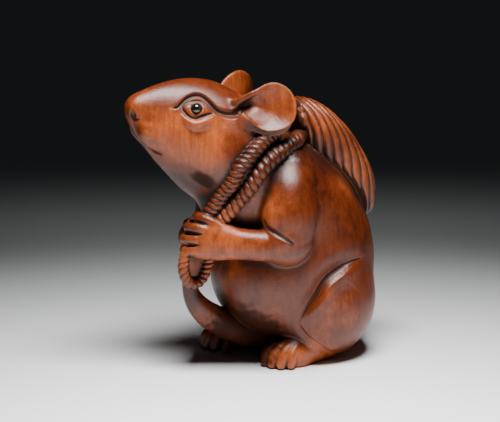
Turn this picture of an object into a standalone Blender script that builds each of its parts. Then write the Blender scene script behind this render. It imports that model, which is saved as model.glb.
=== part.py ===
"""Netsuke of a seated rat with a pleated sack on its back: one boxwood carving and two inlaid eyes.

The rat looks along -Y, its left side is +X, and it stands on the ground at Z = 0. Lengths below are
millimetres; FRAME turns them into metres and puts the middle of the footprint box at the origin.
"""

import math

import bmesh
import bpy
from mathutils import Euler, Matrix, Vector

for old in list(bpy.data.objects):
    bpy.data.objects.remove(old, do_unlink=True)

# Driving dimensions, mm and degrees.
FRAME = Matrix.Scale(0.001, 4) @ Matrix.Translation((0.0, 7.3, 0.0))
HEAD_AT, HEAD_YAW, HEAD_PITCH = Vector((-1.4, -13.2, 42.2)), 11.0, 10.5
EAR_RADIUS, EAR_WALL, EAR_DEPTH = 4.15, 0.95, 1.5
BEAD_RADIUS, BEAD_GAP = 0.9, 0.3
SACK_AT, SACK_RADII, SACK_TILT, PLEAT_PITCH, PLEAT_DEPTH = Vector((1.5, 6.9, 34.2)), (8.0, 5.0, 13.6), 36.0, 1.7, 0.55
ROPE_RADIUS, LOOP_RADIUS = 1.2, 0.92
VOXEL, SMOOTHING, KEEP_TRIANGLES = 0.33, 2, 8700

WOOD, HORN = (0.42, 0.125, 0.03, 1.0), (0.006, 0.005, 0.005, 1.0)


def head_frame():
    """Axes of the head: forward along the snout, to its left, and up."""
    yaw, pitch = math.radians(HEAD_YAW), math.radians(HEAD_PITCH)
    flat = Vector((-math.sin(yaw), -math.cos(yaw), 0))
    up = Vector((0, 0, 1))
    forward = flat * math.cos(pitch) + up * math.sin(pitch)
    left = Vector((math.cos(yaw), -math.sin(yaw), 0))
    return Matrix((forward, left, -flat * math.sin(pitch) + up * math.cos(pitch))).transposed()


HEAD = head_frame()


def on_head(s, l, u):
    return HEAD_AT + HEAD @ Vector((s, l, u))


def smooth_path(points, steps=6):
    """Catmull-Rom curve through rows of numbers."""
    rows = [tuple(p) for p in points]
    rows = [tuple(2 * a - b for a, b in zip(rows[0], rows[1]))] + rows + [tuple(2 * a - b for a, b in zip(rows[-1], rows[-2]))]
    out = []
    for a, b, c, d in zip(rows, rows[1:], rows[2:], rows[3:]):
        for k in range(steps):
            t = k / steps
            out.append(tuple(0.5 * (2 * q + (r - p) * t + (2 * p - 5 * q + 4 * r - s) * t * t + (3 * q - p - 3 * r + s) * t ** 3) for p, q, r, s in zip(a, b, c, d)))
    return out + [rows[-2]]


def rings_to_solid(bm, rings):
    """Closed skin over a row of rings with equal counts, ends filled with a point."""
    made = [[bm.verts.new(p) for p in ring] for ring in rings]
    for low, high in zip(made, made[1:]):
        for k in range(len(low)):
            n = (k + 1) % len(low)
            bm.faces.new((low[k], low[n], high[n], high[k]))
    for ring, flip in ((made[0], True), (made[-1], False)):
        tip = bm.verts.new(sum((v.co for v in ring), Vector()) / len(ring))
        for k in range(len(ring)):
            n = (k + 1) % len(ring)
            bm.faces.new((ring[n], ring[k], tip) if flip else (ring[k], ring[n], tip))


def lobe(bm, at, radii, turn=None, detail=4):
    """Ellipsoid."""
    turn = Matrix.Identity(3) if turn is None else turn
    placed = Matrix.Translation(at) @ turn.to_4x4() @ Matrix.Diagonal((*radii, 1))
    bmesh.ops.create_icosphere(bm, subdivisions=detail, radius=1.0, matrix=placed)


def limb(bm, points, radii, sides=14, steps=5):
    """Round limb of changing thickness along a smooth curve, with domed ends."""
    path = smooth_path([(*p, r) for p, r in zip(points, radii)], steps)
    centres, thick = [Vector(p[:3]) for p in path], [p[3] for p in path]
    first, last = (centres[1] - centres[0]).normalized(), (centres[-1] - centres[-2]).normalized()
    cap = [(0.95, 0.31), (0.75, 0.66), (0.4, 0.917)]
    centres = [centres[0] - first * thick[0] * a for a, _ in cap] + centres + [centres[-1] + last * thick[-1] * a for a, _ in reversed(cap)]
    thick = [thick[0] * b for _, b in cap] + thick + [thick[-1] * b for _, b in reversed(cap)]
    side = first.orthogonal().normalized()
    rings = []
    for k, (centre, r) in enumerate(zip(centres, thick)):
        along = (centres[min(k + 1, len(centres) - 1)] - centres[max(k - 1, 0)]).normalized()
        side = (side - along * side.dot(along)).normalized()
        across = along.cross(side)
        rings.append([centre + (side * math.cos(a) + across * math.sin(a)) * r for a in (2 * math.pi * j / sides for j in range(sides))])
    rings_to_solid(bm, rings)


def skull(bm):
    """Head from nose to nape: (along, top, underside, half width, how high the widest point is)."""
    sections = [(18.15, 0.6, -0.3, 0.4, 0.5), (17.75, 1.7, -1.1, 1.35, 0.5), (16.9, 2.6, -2.4, 2.0, 0.5), (15.4, 3.5, -4.2, 2.65, 0.47),
                (13.4, 4.6, -6.1, 3.45, 0.45), (11.0, 5.6, -8.2, 4.6, 0.44), (8.4, 6.35, -10.2, 5.9, 0.44), (5.5, 6.7, -12.3, 7.0, 0.45),
                (2.5, 6.5, -13.5, 7.8, 0.46), (-1.0, 5.5, -14.0, 8.1, 0.46), (-4.0, 4.2, -13.5, 7.8, 0.46), (-7.0, 2.0, -11.5, 6.4, 0.46),
                (-9.0, -0.5, -9.0, 4.4, 0.46), (-10.2, -3.0, -6.0, 1.5, 0.46)]
    rings = []
    for s, top, low, wide, share in smooth_path(sections, 2):
        mid = low + (top - low) * share
        ring = []
        for k in range(32):
            a = 2 * math.pi * k / 32
            rise = (top - mid) if math.sin(a) > 0 else (mid - low)
            ring.append(on_head(s, wide * math.cos(a), mid + rise * math.sin(a)))
        rings.append(ring)
    rings_to_solid(bm, rings)


def ear_shape(side):
    """Skin of an ear: a shallow cup drawn out to the front where it joins the head. The right ear is the larger."""
    normal = (HEAD @ Vector((0.42, 0.89 * side, 0.16))).normalized()
    ahead = HEAD @ Vector((1, 0, 0))
    ahead = (ahead - normal * ahead.dot(normal)).normalized()
    up = normal.cross(ahead) * side
    centre, scale = (on_head(-3.9, 8.7, 3.9), 1.0) if side > 0 else (on_head(-4.9, -8.5, 3.75), 1.12)

    def point(x, t, lift, reach=1.0):
        ahead_share = max(math.cos(t), 0)
        r = (EAR_RADIUS + 0.3 * math.sin(t) + (1.5 if side > 0 else 0.5) * ahead_share ** 8) * reach * scale
        sink = EAR_DEPTH * (1 - x * x) + 1.2 * x * (1 - x) * math.cos(t) + 1.0 * ahead_share ** 3 * x * x
        return centre + ahead * (r * x * math.cos(t)) + up * (r * x * math.sin(t)) + normal * (lift - sink)

    return point


def ear(bm, side):
    """Cupped round ear, open towards the front and outside, narrowing where it joins the head."""
    point = ear_shape(side)
    lobe(bm, on_head(-2.4, 6.3 * side, 2.1), (3.4, 2.3, 3.0), HEAD)
    rounds, sides = 6, 28
    wall = [EAR_WALL * (1.3 - 0.55 * k / rounds) / 2 for k in range(rounds + 1)]
    rings = [[point(k / rounds, 2 * math.pi * j / sides, -wall[k]) for j in range(sides)] for k in range(1, rounds + 1)]
    rings += [[point(k / rounds, 2 * math.pi * j / sides, wall[k]) for j in range(sides)] for k in range(rounds, 0, -1)]
    rings_to_solid(bm, rings)


def ear_hollow(bm, side):
    """Cutter that clears the cup: its floor follows the ear and lifts clear of the rim."""
    point = ear_shape(side)
    rounds, sides = 7, 32
    floor = [[point(k / rounds, 2 * math.pi * j / sides, 0.12 + 0.75 * (k / rounds) ** 4, 0.9) for j in range(sides)] for k in range(1, rounds + 1)]
    cover = [[point(k / rounds, 2 * math.pi * j / sides, 2.9, 0.9) for j in range(sides)] for k in range(rounds, 0, -1)]
    rings_to_solid(bm, floor + cover)


def eye(bm, side):
    """Eyeball standing a little out of the head, inside a ridge of lid."""
    normal = (HEAD @ Vector((0.31, 0.88 * side, 0.36))).normalized()
    long_way = (HEAD @ Vector((0.96, 0, 0.22)))
    long_way = (long_way - normal * long_way.dot(normal)).normalized()
    across = normal.cross(long_way)
    turn = Matrix((long_way, across, normal)).transposed()
    at = on_head(7.71, 5.22 * side, 2.02)
    lobe(bm, at - normal * 1.4, (3.1, 2.05, 1.62), turn)
    lid = [at + long_way * (3.0 * math.cos(a)) + across * (1.75 * math.sin(a)) - normal * (0.35 + 0.9 * math.cos(a) ** 2) for a in (2 * math.pi * k / 12 for k in range(13))]
    limb(bm, lid, [0.45] * 13, 8, 3)
    return at, normal


def sack(bm):
    """Pleated sack: a long round body whose pleats run from the neck to a sharp lower edge."""
    turn = Euler((math.radians(SACK_TILT), 0, math.radians(4.3)), "XYZ").to_matrix()
    body = bmesh.new()
    bmesh.ops.create_icosphere(body, subdivisions=5, radius=1.0)
    planes = [(Vector(normal).normalized(), reach) for normal, reach in (((-0.30, 0.65, 0.70), 24.05), ((0.36, 0.65, 0.67), 24.6), ((0.0, 0.953, 0.302), 11.3))]
    for v in body.verts:
        out = v.co.normalized()
        p = SACK_AT + turn @ Vector((v.co.x * SACK_RADII[0], v.co.y * SACK_RADII[1], v.co.z * SACK_RADII[2]))
        above = min(p.dot(normal) - reach for normal, reach in planes[:2])
        side_way = math.sqrt((p.x - SACK_AT.x) ** 2 + 0.6)
        run = 0.588 * side_way + 0.809 * p.y + 0.2 * max(above - 1.2, 0) ** 1.8 + 0.5
        depth = PLEAT_DEPTH * min(1.0, max(0.0, (p.z - 0.3 * p.y - 17.0) / 5.0))
        v.co = p + turn @ out * (0.14 - depth * (1 - abs(math.sin(math.pi * run / PLEAT_PITCH)) ** 0.8))
    for normal, reach in planes:
        geometry = body.verts[:] + body.edges[:] + body.faces[:]
        bmesh.ops.bisect_plane(body, geom=geometry, plane_co=normal * reach, plane_no=normal, clear_inner=True, dist=1e-5)
        rim = [e for e in body.edges if e.is_boundary]
        bmesh.ops.holes_fill(body, edges=rim)
    bmesh.ops.recalc_face_normals(body, faces=body.faces[:])
    mesh = bpy.data.meshes.new("sack")
    body.to_mesh(mesh)
    body.free()
    bm.from_mesh(mesh)
    bpy.data.meshes.remove(mesh)
    for at, radii in (((3.7, -1.5, 43.4), (1.3, 1.0, 1.2)), ((3.0, -1.9, 44.6), (1.5, 1.0, 0.9)), ((5.0, -1.0, 42.0), (0.9, 1.0, 1.3))):
        lobe(bm, at, radii, Euler((math.radians(20), 0, math.radians(20))).to_matrix(), 3)


def trunk(bm):
    lobe(bm, (0, 0.6, 14.9), (12.3, 15.4, 12.0))
    lobe(bm, (0, 2.6, 21.0), (12.2, 11.5, 11.8))
    lobe(bm, (0, 0.3, 27.5), (11.4, 9.9, 10.5))
    lobe(bm, (0, -4.2, 28.0), (9.6, 10.0, 10.2))
    lobe(bm, (0, 7.0, 7.7), (9.7, 8.3, 7.9))
    limb(bm, [(0.3, -5, 31), (0.0, -9.0, 34), (-0.8, -13, 37)], [8.8, 9.2, 8.2], 28)
    lobe(bm, (0, -10.2, 29.2), (6.8, 8.1, 7.2), Euler((math.radians(20), 0, 0)).to_matrix())


def haunch(bm, side):
    lobe(bm, (6.7 * side, 2.8, 9.8), (7.4, 9.6, 9.9), Euler((math.radians(-22), 0, 0)).to_matrix())


def foot(bm, side, heel, first, step, reaches):
    """Sole, instep and five toes fanned out in front of the heel, the first toe on the inside."""
    x, y = heel
    limb(bm, [(x + 0.9 * side, y + 4.2, 0.5), (x + 1.2 * side, y + 1.6, 1.3), (x + 0.9 * side, y - 1.6, 2.2), (x + 0.2 * side, y - 5.0, 2.3)], [0.6, 1.5, 2.5, 2.5])
    lobe(bm, (x + 0.2 * side, y - 4.3, 2.0), (3.3, 3.7, 3.4))
    for k, reach in enumerate(reaches):
        spread = math.radians(first + step * k)
        dx, dy = math.sin(spread) * side, -math.cos(spread)
        root = (x + 0.3 * side, y - 1.6)
        at = [(root[0] + dx * reach * a, root[1] + dy * reach * a, z) for a, z in ((0.3, 4.0), (0.62, 3.55), (0.85, 2.4), (0.94, 0.9))]
        limb(bm, at, [0.95, 1.02, 1.0, 0.86], 10)


def upper_arm(bm, side):
    limb(bm, [(7.0 * side, -5.4, 34.0), (8.7 * side, -6.9, 31.0), (9.45 * side, -7.5, 27.5), (9.85 * side, -7.7, 24.6), (10.0 * side, -7.5, 22.6)], [4.1, 4.7, 5.05, 4.6, 3.9], 20)
    lobe(bm, (10.0 * side, -8.9, 22.5), (4.0, 4.0, 3.6))


def forearm(bm, side):
    """Forearm and paw: the left closes round the ropes, the right comes to meet it."""
    if side > 0:
        limb(bm, [(10.2, -7.6, 22.1), (9.6, -9.6, 22.0), (8.4, -12.0, 22.3), (7.0, -14.2, 22.5), (5.8, -16.3, 22.8), (4.7, -18.0, 23.2)], [2.5, 2.75, 2.8, 2.6, 2.6, 2.8], 16)
        lobe(bm, (3.0, -19.4, 23.8), (2.1, 3.3, 4.0), Euler((math.radians(4), 0, math.radians(-50))).to_matrix())
        for k, out in enumerate((0.0, 1.2, 1.75, 1.8)):
            z = 27.0 - 1.8 * k
            limb(bm, [(5.2 - 0.13 * k, -18.4 - 0.55 * out, z - 1.0), (3.6 - 0.25 * k, -20.2 - 0.9 * out, z), (1.6 - 0.3 * k, -20.6 - 1.05 * out, z + 0.1), (-0.2 - 0.25 * k, -19.7 - 1.05 * out, z - 0.3)], [0.75, 0.94, 0.9, 0.76], 10)
    else:
        limb(bm, [(-10.2, -8.2, 22.6), (-9.2, -12.0, 22.0), (-7.4, -15.0, 21.8), (-5.4, -17.0, 22.0), (-3.9, -18.0, 22.2)], [3.2, 2.7, 2.4, 2.4, 2.4], 16)
        lobe(bm, (-3.8, -18.3, 22.4), (1.7, 2.8, 3.2), Euler((math.radians(4), 0, math.radians(46))).to_matrix())
        for k in range(4):
            z = 24.8 - 1.6 * k
            limb(bm, [(-4.1, -18.2, z), (-3.2, -19.4 - 0.1 * k, z + 0.1), (-1.9, -20.1 - 0.12 * k, z + 0.1), (-0.8, -19.9 - 0.1 * k, z)], [0.9, 0.88, 0.8, 0.62], 10)


def ropes_and_tail(bm):
    limb(bm, [(7.6, -8.6, 41.2), (7.9, -13.2, 38.8), (7.5, -16.3, 35.9), (6.5, -17.2, 33.2), (4.3, -18.5, 29.9), (2.9, -19.2, 27.6), (2.2, -20.0, 25.0)], [ROPE_RADIUS + 0.1] * 7, 10, 8)
    limb(bm, [(5.6, -1.4, 40.8), (7.2, -4.9, 39.2), (8.9, -10.2, 37.2), (8.6, -13.3, 34.5), (7.0, -15.3, 30.9), (4.8, -17.4, 27.3), (3.8, -18.6, 25.0)], [ROPE_RADIUS] * 7, 10, 8)
    loop = [(1.0, -20.6 - 2.55 * math.cos(a), 17.9 - 2.4 * math.sin(a)) for a in (math.pi * k / 6 for k in range(7))]
    limb(bm, [(1.3, -22.0, 23.0), (1.15, -23.0, 20.4)] + loop + [(1.2, -17.6, 21.2)], [LOOP_RADIUS] * 10, 10, 4)
    limb(bm, [(0, 9, 2.4), (-0.4, 2, 2.5), (-1.0, -5, 3.6), (-1.3, -11, 5.7), (-1.2, -15.2, 7.9), (-1.0, -18.0, 10.0), (-1.0, -19.7, 12.1), (-1.0, -20.5, 14.2), (-0.8, -20.7, 17.2), (-0.6, -20.6, 20.5), (-0.3, -20.0, 24.0)],
         [2.6, 2.6, 2.6, 2.6, 2.45, 2.1, 1.7, 1.42, 1.38, 1.38, 1.32], 16)
    bmesh.ops.create_cube(bm, size=1.0, matrix=Matrix.Translation((0.5, -20.7, 19.4)) @ Matrix.Diagonal((1.0, 4.2, 5.6, 1)))


def blended(bm, voxel, rounds):
    """Forms worked together until the joins between them are soft hollows, back in millimetres."""
    made = object_of("soft_forms", bm)
    skin = made.modifiers.new("skin", "REMESH")
    skin.mode, skin.voxel_size, skin.adaptivity = "VOXEL", voxel * 0.001, 0.0
    soften = made.modifiers.new("soften", "SMOOTH")
    soften.factor, soften.iterations = 0.5, rounds
    mesh = bpy.data.meshes.new_from_object(made.evaluated_get(bpy.context.evaluated_depsgraph_get()))
    bpy.data.objects.remove(made, do_unlink=True)
    mesh.transform(FRAME.inverted())
    out = bmesh.new()
    out.from_mesh(mesh)
    bpy.data.meshes.remove(mesh)
    return out


def wood(name, colour, rough):
    material = bpy.data.materials.new(name)
    material.use_nodes = True
    shader = material.node_tree.nodes["Principled BSDF"]
    shader.inputs["Base Color"].default_value = colour
    shader.inputs["Roughness"].default_value = rough
    shader.inputs["Metallic"].default_value = 0.0
    return material


def object_of(name, bm, material=None):
    bmesh.ops.recalc_face_normals(bm, faces=bm.faces[:])
    mesh = bpy.data.meshes.new(name)
    bm.to_mesh(mesh)
    bm.free()
    mesh.transform(FRAME)
    mesh.shade_smooth()
    made = bpy.data.objects.new(name, mesh)
    bpy.context.scene.collection.objects.link(made)
    if material:
        mesh.materials.append(material)
    return made


def cutter(name, bm):
    made = object_of(name, bm)
    made.hide_render = True
    made.display_type = "WIRE"
    return made


def cut(target, tool):
    step = target.modifiers.new("cut_" + tool.name, "BOOLEAN")
    step.operation, step.solver, step.object = "DIFFERENCE", "EXACT", tool


boxwood, horn = wood("stained_boxwood", WOOD, 0.34), wood("black_horn", HORN, 0.12)

# The carving: every form is worked into one skin, which is then cut where it stands and where the eyes go in.
bm = bmesh.new()
trunk(bm)
bm = blended(bm, 0.8, 40)
skull(bm)
for side in (1, -1):
    upper_arm(bm, side)
    haunch(bm, side)
bm = blended(bm, 0.5, 8)
for side in (1, -1):
    foot(bm, side, *(((6.8, 0.0), -25.6, 12.7, (8.1, 8.45, 8.05, 7.35, 6.25)) if side > 0 else ((-7.8, -2.4), -26.6, 13.9, (7.85, 8.35, 8.6, 8.2, 7.2))))
    forearm(bm, side)
    ear(bm, side)
    droop = Euler((0, math.radians(-24), math.radians(14 * side))).to_matrix()
    lobe(bm, on_head(12.7, 1.65 * side, -3.5), (2.9, 1.75, 1.7), HEAD @ droop)
sockets = [eye(bm, side) for side in (1, -1)]
sack(bm)
ropes_and_tail(bm)
figure = object_of("rat_figure", bm, boxwood)

skin = figure.modifiers.new("skin", "REMESH")
skin.mode, skin.voxel_size, skin.adaptivity, skin.use_smooth_shade = "VOXEL", VOXEL * 0.001, 0.0, True
soften = figure.modifiers.new("soften", "SMOOTH")
soften.factor, soften.iterations = 0.5, SMOOTHING

for side in (1, -1):
    bm = bmesh.new()
    ear_hollow(bm, side)
    cut(figure, cutter("ear_hollow_" + ("left" if side > 0 else "right"), bm))

thin_out = figure.modifiers.new("thin_out", "DECIMATE")
thin_out.decimate_type, thin_out.use_collapse_triangulate = "COLLAPSE", True
faces = len(figure.evaluated_get(bpy.context.evaluated_depsgraph_get()).to_mesh().loop_triangles)
thin_out.ratio = min(1.0, KEEP_TRIANGLES / max(1, faces))

bm = bmesh.new()
bmesh.ops.create_cube(bm, size=1.0, matrix=Matrix.Translation((0, -5, -10)) @ Matrix.Diagonal((60, 80, 20, 1)))
cut(figure, cutter("ground", bm))

for (at, normal), side in zip(sockets, ("left", "right")):
    bm = bmesh.new()
    bmesh.ops.create_uvsphere(bm, u_segments=16, v_segments=10, radius=BEAD_RADIUS + BEAD_GAP, matrix=Matrix.Translation(at + normal * 0.05))
    cut(figure, cutter("socket_" + side, bm))
    bm = bmesh.new()
    bmesh.ops.create_uvsphere(bm, u_segments=16, v_segments=10, radius=BEAD_RADIUS, matrix=Matrix.Translation(at + normal * 0.05))
    object_of(side + "_eye", bm, horn)
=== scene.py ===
"""The netsuke of a seated rat with a sack on its back: fine carving, materials, light and camera.

The carving is described as distance fields in millimetres, in the same axes as the CAD, and skinned into one mesh.
"""

from concurrent.futures import ThreadPoolExecutor

import bmesh
import bpy
import numpy as np
from mathutils import Matrix, Vector


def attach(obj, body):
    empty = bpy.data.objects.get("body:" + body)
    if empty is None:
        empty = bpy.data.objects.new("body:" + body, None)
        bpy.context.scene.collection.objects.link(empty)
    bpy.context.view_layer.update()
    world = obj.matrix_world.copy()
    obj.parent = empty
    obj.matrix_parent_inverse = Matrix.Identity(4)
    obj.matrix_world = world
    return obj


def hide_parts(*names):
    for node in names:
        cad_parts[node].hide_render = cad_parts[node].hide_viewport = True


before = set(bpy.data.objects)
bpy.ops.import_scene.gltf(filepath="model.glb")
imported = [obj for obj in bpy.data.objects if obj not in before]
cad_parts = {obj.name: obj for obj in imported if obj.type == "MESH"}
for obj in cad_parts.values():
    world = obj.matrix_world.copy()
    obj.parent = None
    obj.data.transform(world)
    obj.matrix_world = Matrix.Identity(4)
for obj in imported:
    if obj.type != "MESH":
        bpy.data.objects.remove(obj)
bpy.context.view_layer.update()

CELL = 0.2                # mm, size of the skinning grid
KEEP_TRIANGLES = 196000
SHIFT_Y = 7.3             # mm, the CAD's footprint centre


# ---------------------------------------------------------------- distance fields

def rows(v):
    v = np.asarray(v, float)
    return v / np.maximum(np.linalg.norm(v, axis=-1, keepdims=True), 1e-12)


def axes(z, x=(1.0, 0.0, 0.0)):
    """Columns are local x, y, z, with z as given and x as near as it goes."""
    z, x = rows(z), np.asarray(x, float)
    x = rows(x - z * (x @ z))
    return np.stack([x, np.cross(z, x), z], 1)


def euler(rx=0.0, ry=0.0, rz=0.0):
    rx, ry, rz = np.radians([rx, ry, rz])
    cx, sx, cy, sy, cz, sz = np.cos(rx), np.sin(rx), np.cos(ry), np.sin(ry), np.cos(rz), np.sin(rz)
    return np.array([[cz, -sz, 0], [sz, cz, 0], [0, 0, 1]]) @ np.array([[cy, 0, sy], [0, 1, 0], [-sy, 0, cy]]) @ np.array([[1, 0, 0], [0, cx, -sx], [0, sx, cx]])


def smin(a, b, k):
    """Smaller of two, rounded over k where they are close."""
    if k <= 0:
        return np.minimum(a, b)
    h = np.maximum(k - np.abs(a - b), 0) / k
    return np.minimum(a, b) - h * h * k * 0.25


def smax(a, b, k):
    return -smin(-a, -b, k)


def step01(x, lo, hi):
    t = np.clip((x - lo) / (hi - lo), 0, 1)
    return t * t * (3 - 2 * t)


def spline(pts, n=10, closed=False):
    """Catmull-Rom through rows of any width, n samples a span."""
    p = np.asarray(pts, float)
    m = len(p)
    full = np.vstack([p[-1:], p, p[:2]]) if closed else np.vstack([2 * p[0] - p[1], p, 2 * p[-1] - p[-2]])
    t = np.linspace(0, 1, n, endpoint=False)[:, None]
    out = []
    for i in range(m if closed else m - 1):
        a, b, c, d = full[i:i + 4]
        out.append(0.5 * (2 * b + (c - a) * t + (2 * a - 5 * b + 4 * c - d) * t * t + (3 * b - a - 3 * c + d) * t ** 3))
    out.append(out[0][:1] if closed else p[-1:])
    return np.concatenate(out)


class Form:
    """A distance function with the box it lies in."""

    def __init__(self, lo, hi, fn):
        self.lo, self.hi, self.fn = np.asarray(lo, float), np.asarray(hi, float), fn


EVERYWHERE = ((-999.0,) * 3, (999.0,) * 3)


def ellipsoid(c, r, turn=None, p=2.0):
    c, r = np.asarray(c, float), np.asarray(r, float)
    M = np.eye(3) if turn is None else turn
    ext = np.sqrt(((M * r) ** 2).sum(1)) * (1.0 if p == 2.0 else 1.1)

    def fn(P):
        q = (P - c) @ M
        if p == 2.0:
            k0 = np.sqrt(((q / r) ** 2).sum(1)) + 1e-9
            k1 = np.sqrt(((q / (r * r)) ** 2).sum(1)) + 1e-9
            return k0 * (k0 - 1) / k1
        a = np.abs(q / r) + 1e-9
        k0 = (a ** p).sum(1) ** (1 / p)
        g = a ** (p - 1) / r
        return (k0 - 1) / np.maximum(np.sqrt((g * g).sum(1)) * k0 ** (1 - p), 1e-6)
    return Form(c - ext, c + ext, fn)


def nearest(P, S):
    """For each point: segment of polyline S that is closest, how far along it, and the distance."""
    d2 = (S * S).sum(1) - 2 * (P @ S.T)
    i = np.argmin(d2, axis=1)
    best = None
    for j in (np.clip(i - 1, 0, len(S) - 2), np.clip(i, 0, len(S) - 2)):
        a, ab = S[j], S[j + 1] - S[j]
        t = np.clip(((P - a) * ab).sum(1) / np.maximum((ab * ab).sum(1), 1e-12), 0, 1)
        d = np.linalg.norm(P - a - ab * t[:, None], axis=1)
        if best is None:
            best = (j, t, d)
        else:
            m = d < best[2]
            best = (np.where(m, j, best[0]), np.where(m, t, best[1]), np.where(m, d, best[2]))
    return best


def tube(pts, radii, n=12, closed=False):
    """Round limb of changing thickness along a smooth curve."""
    s = spline(np.column_stack([np.asarray(pts, float), np.broadcast_to(np.asarray(radii, float), len(pts))]), n, closed)
    S, r = s[:, :3], s[:, 3]

    def fn(P):
        j, t, d = nearest(P, S)
        return d - (r[j] + (r[j + 1] - r[j]) * t)
    return Form(S.min(0) - r.max(), S.max(0) + r.max(), fn)


def strap(pts, up, wide, thick, n=12, closed=False, p=2.0):
    """Limb of flattened section: up gives the thin direction at each point, wide and thick are half sizes."""
    k = len(pts)
    cols = np.column_stack([np.asarray(pts, float), np.broadcast_to(np.asarray(up, float), (k, 3)), np.broadcast_to(np.asarray(wide, float), k), np.broadcast_to(np.asarray(thick, float), k)])
    s = spline(cols, n, closed)
    S, U, w, h = s[:, :3], rows(s[:, 3:6]), s[:, 6], s[:, 7]
    T = rows(np.gradient(S, axis=0))
    U = rows(U - T * (U * T).sum(1)[:, None])
    B = np.cross(T, U)
    e = max(w.max(), h.max())

    def fn(P):
        j, t, _ = nearest(P, S)
        t1 = t[:, None]
        c = S[j] + (S[j + 1] - S[j]) * t1
        q = P - c
        uu, bb = rows(U[j] + (U[j + 1] - U[j]) * t1), rows(B[j] + (B[j + 1] - B[j]) * t1)
        ww, hh = w[j] + (w[j + 1] - w[j]) * t, h[j] + (h[j + 1] - h[j]) * t
        a, b = (q * bb).sum(1), (q * uu).sum(1)
        along = np.sqrt(np.maximum((q * q).sum(1) - a * a - b * b, 0))
        m = np.minimum(ww, hh)
        x, y, z = np.abs(a / ww) + 1e-9, np.abs(b / hh) + 1e-9, along / m
        k0 = (x ** p + y ** p + z ** p) ** (1 / p)
        g = np.sqrt((x ** (p - 1) / ww) ** 2 + (y ** (p - 1) / hh) ** 2 + (z ** (p - 1) / m) ** 2) * k0 ** (1 - p)
        return (k0 - 1) / np.maximum(g, 1e-6)
    return Form(S.min(0) - e, S.max(0) + e, fn)


def loft(origin, M, stations):
    """Sections along the first local axis: place, top, bottom, half width, height of the widest point as a share."""
    st = np.asarray(stations, float)
    q = spline(st, 12)
    q = q[np.argsort(q[:, 0])]
    xs, ys = q[:, 0], q[:, 1:]
    s0, s1 = st[:, 0].min(), st[:, 0].max()
    ext = max(np.abs(st[:, 1:3]).max(), st[:, 3].max()) + 1
    corners = np.array([origin + M @ np.array([s, l, u]) for s in (s0, s1) for l in (-ext, ext) for u in (-ext, ext)])

    def fn(P):
        q = (P - origin) @ M
        s = q[:, 0]
        top, low, wide, share = (np.interp(s, xs, ys[:, k]) for k in range(4))
        mid = low + (top - low) * share
        tall, wide = np.maximum(np.where(q[:, 2] > mid, top - mid, mid - low), 0.05), np.maximum(wide, 0.05)
        a, b = q[:, 1] / wide, (q[:, 2] - mid) / tall
        k0 = np.sqrt(a * a + b * b) + 1e-9
        d = (k0 - 1) * k0 / np.maximum(np.sqrt((a / wide) ** 2 + (b / tall) ** 2), 1e-6)
        over = np.maximum(np.maximum(s - s1, s0 - s), 0)
        return np.where(over > 0, np.sqrt(np.maximum(d, 0) ** 2 + over ** 2), d)
    return Form(corners.min(0), corners.max(0), fn)


class Block:
    """Forms added to and cut from each other in order, each join rounded over its own width."""

    def __init__(self, steps=()):
        self.steps = list(steps)

    def add(self, form, k=0.8):
        self.steps.append(("add", form, k, k + 1.2))

    def cut(self, form, k=0.4):
        self.steps.append(("cut", form, k, k + 1.2))

    def clip(self, form, k=0.3):
        self.steps.append(("clip", form, k, 0.0))

    def push(self, lo, hi, fn):
        """Adds fn(P) to the distance inside a box."""
        self.steps.append(("push", Form(lo, hi, fn), 0.0, 0.0))

    def box(self):
        added = [f for kind, f, _, _ in self.steps if kind == "add"]
        return np.min([f.lo for f in added], axis=0), np.max([f.hi for f in added], axis=0)

    def near(self, P):
        lo, hi = P.min(0), P.max(0)
        d = np.full(len(P), 6.0)
        for kind, form, k, m in self.steps:
            if np.any(hi < form.lo - m) or np.any(lo > form.hi + m):
                continue
            if kind == "clip":
                d = smax(d, form.fn(P), k)
                continue
            i = np.nonzero(np.all((P >= form.lo - m) & (P <= form.hi + m), axis=1))[0]
            if not len(i):
                continue
            v = form.fn(P[i])
            d[i] = smin(d[i], v, k) if kind == "add" else smax(d[i], -v, k) if kind == "cut" else d[i] + v
        return d

    def __call__(self, P):
        P = np.asarray(P, float)
        if len(P) < 4000:
            return self.near(P)
        cell = np.floor((P - P.min(0)) / 2.5).astype(np.int64)
        order = np.argsort((cell[:, 0] * 4096 + cell[:, 1]) * 4096 + cell[:, 2], kind="stable")
        parts = np.array_split(order, max(1, len(P) // 3000))
        out = np.empty(len(P))

        def work(i):
            out[i] = self.near(P[i])
        with ThreadPoolExecutor(4) as pool:
            list(pool.map(work, parts))
        return out


def slope(field, P, e=0.04):
    """Outward normals, and how steep the field is there."""
    g = np.stack([field(P + d) - field(P - d) for d in np.eye(3) * e], 1)
    L = np.linalg.norm(g, axis=1)
    return g / np.maximum(L, 1e-9)[:, None], L / (2 * e)


def settle(field, P, rounds=2, limit=0.2, e=0.04):
    """Points moved onto the surface."""
    for _ in range(rounds):
        n, L = slope(field, P, e)
        P = P - n * np.clip(field(P) / np.maximum(L, 0.5), -limit, limit)[:, None]
    return P


def on(field, pts, out=0.0):
    """Points moved onto the surface, then out by a distance."""
    P = settle(field, np.array(pts, float), 6, 1.0)
    n, _ = slope(field, P, 0.1)
    return P + n * np.broadcast_to(np.asarray(out, float), len(P))[:, None]


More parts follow.
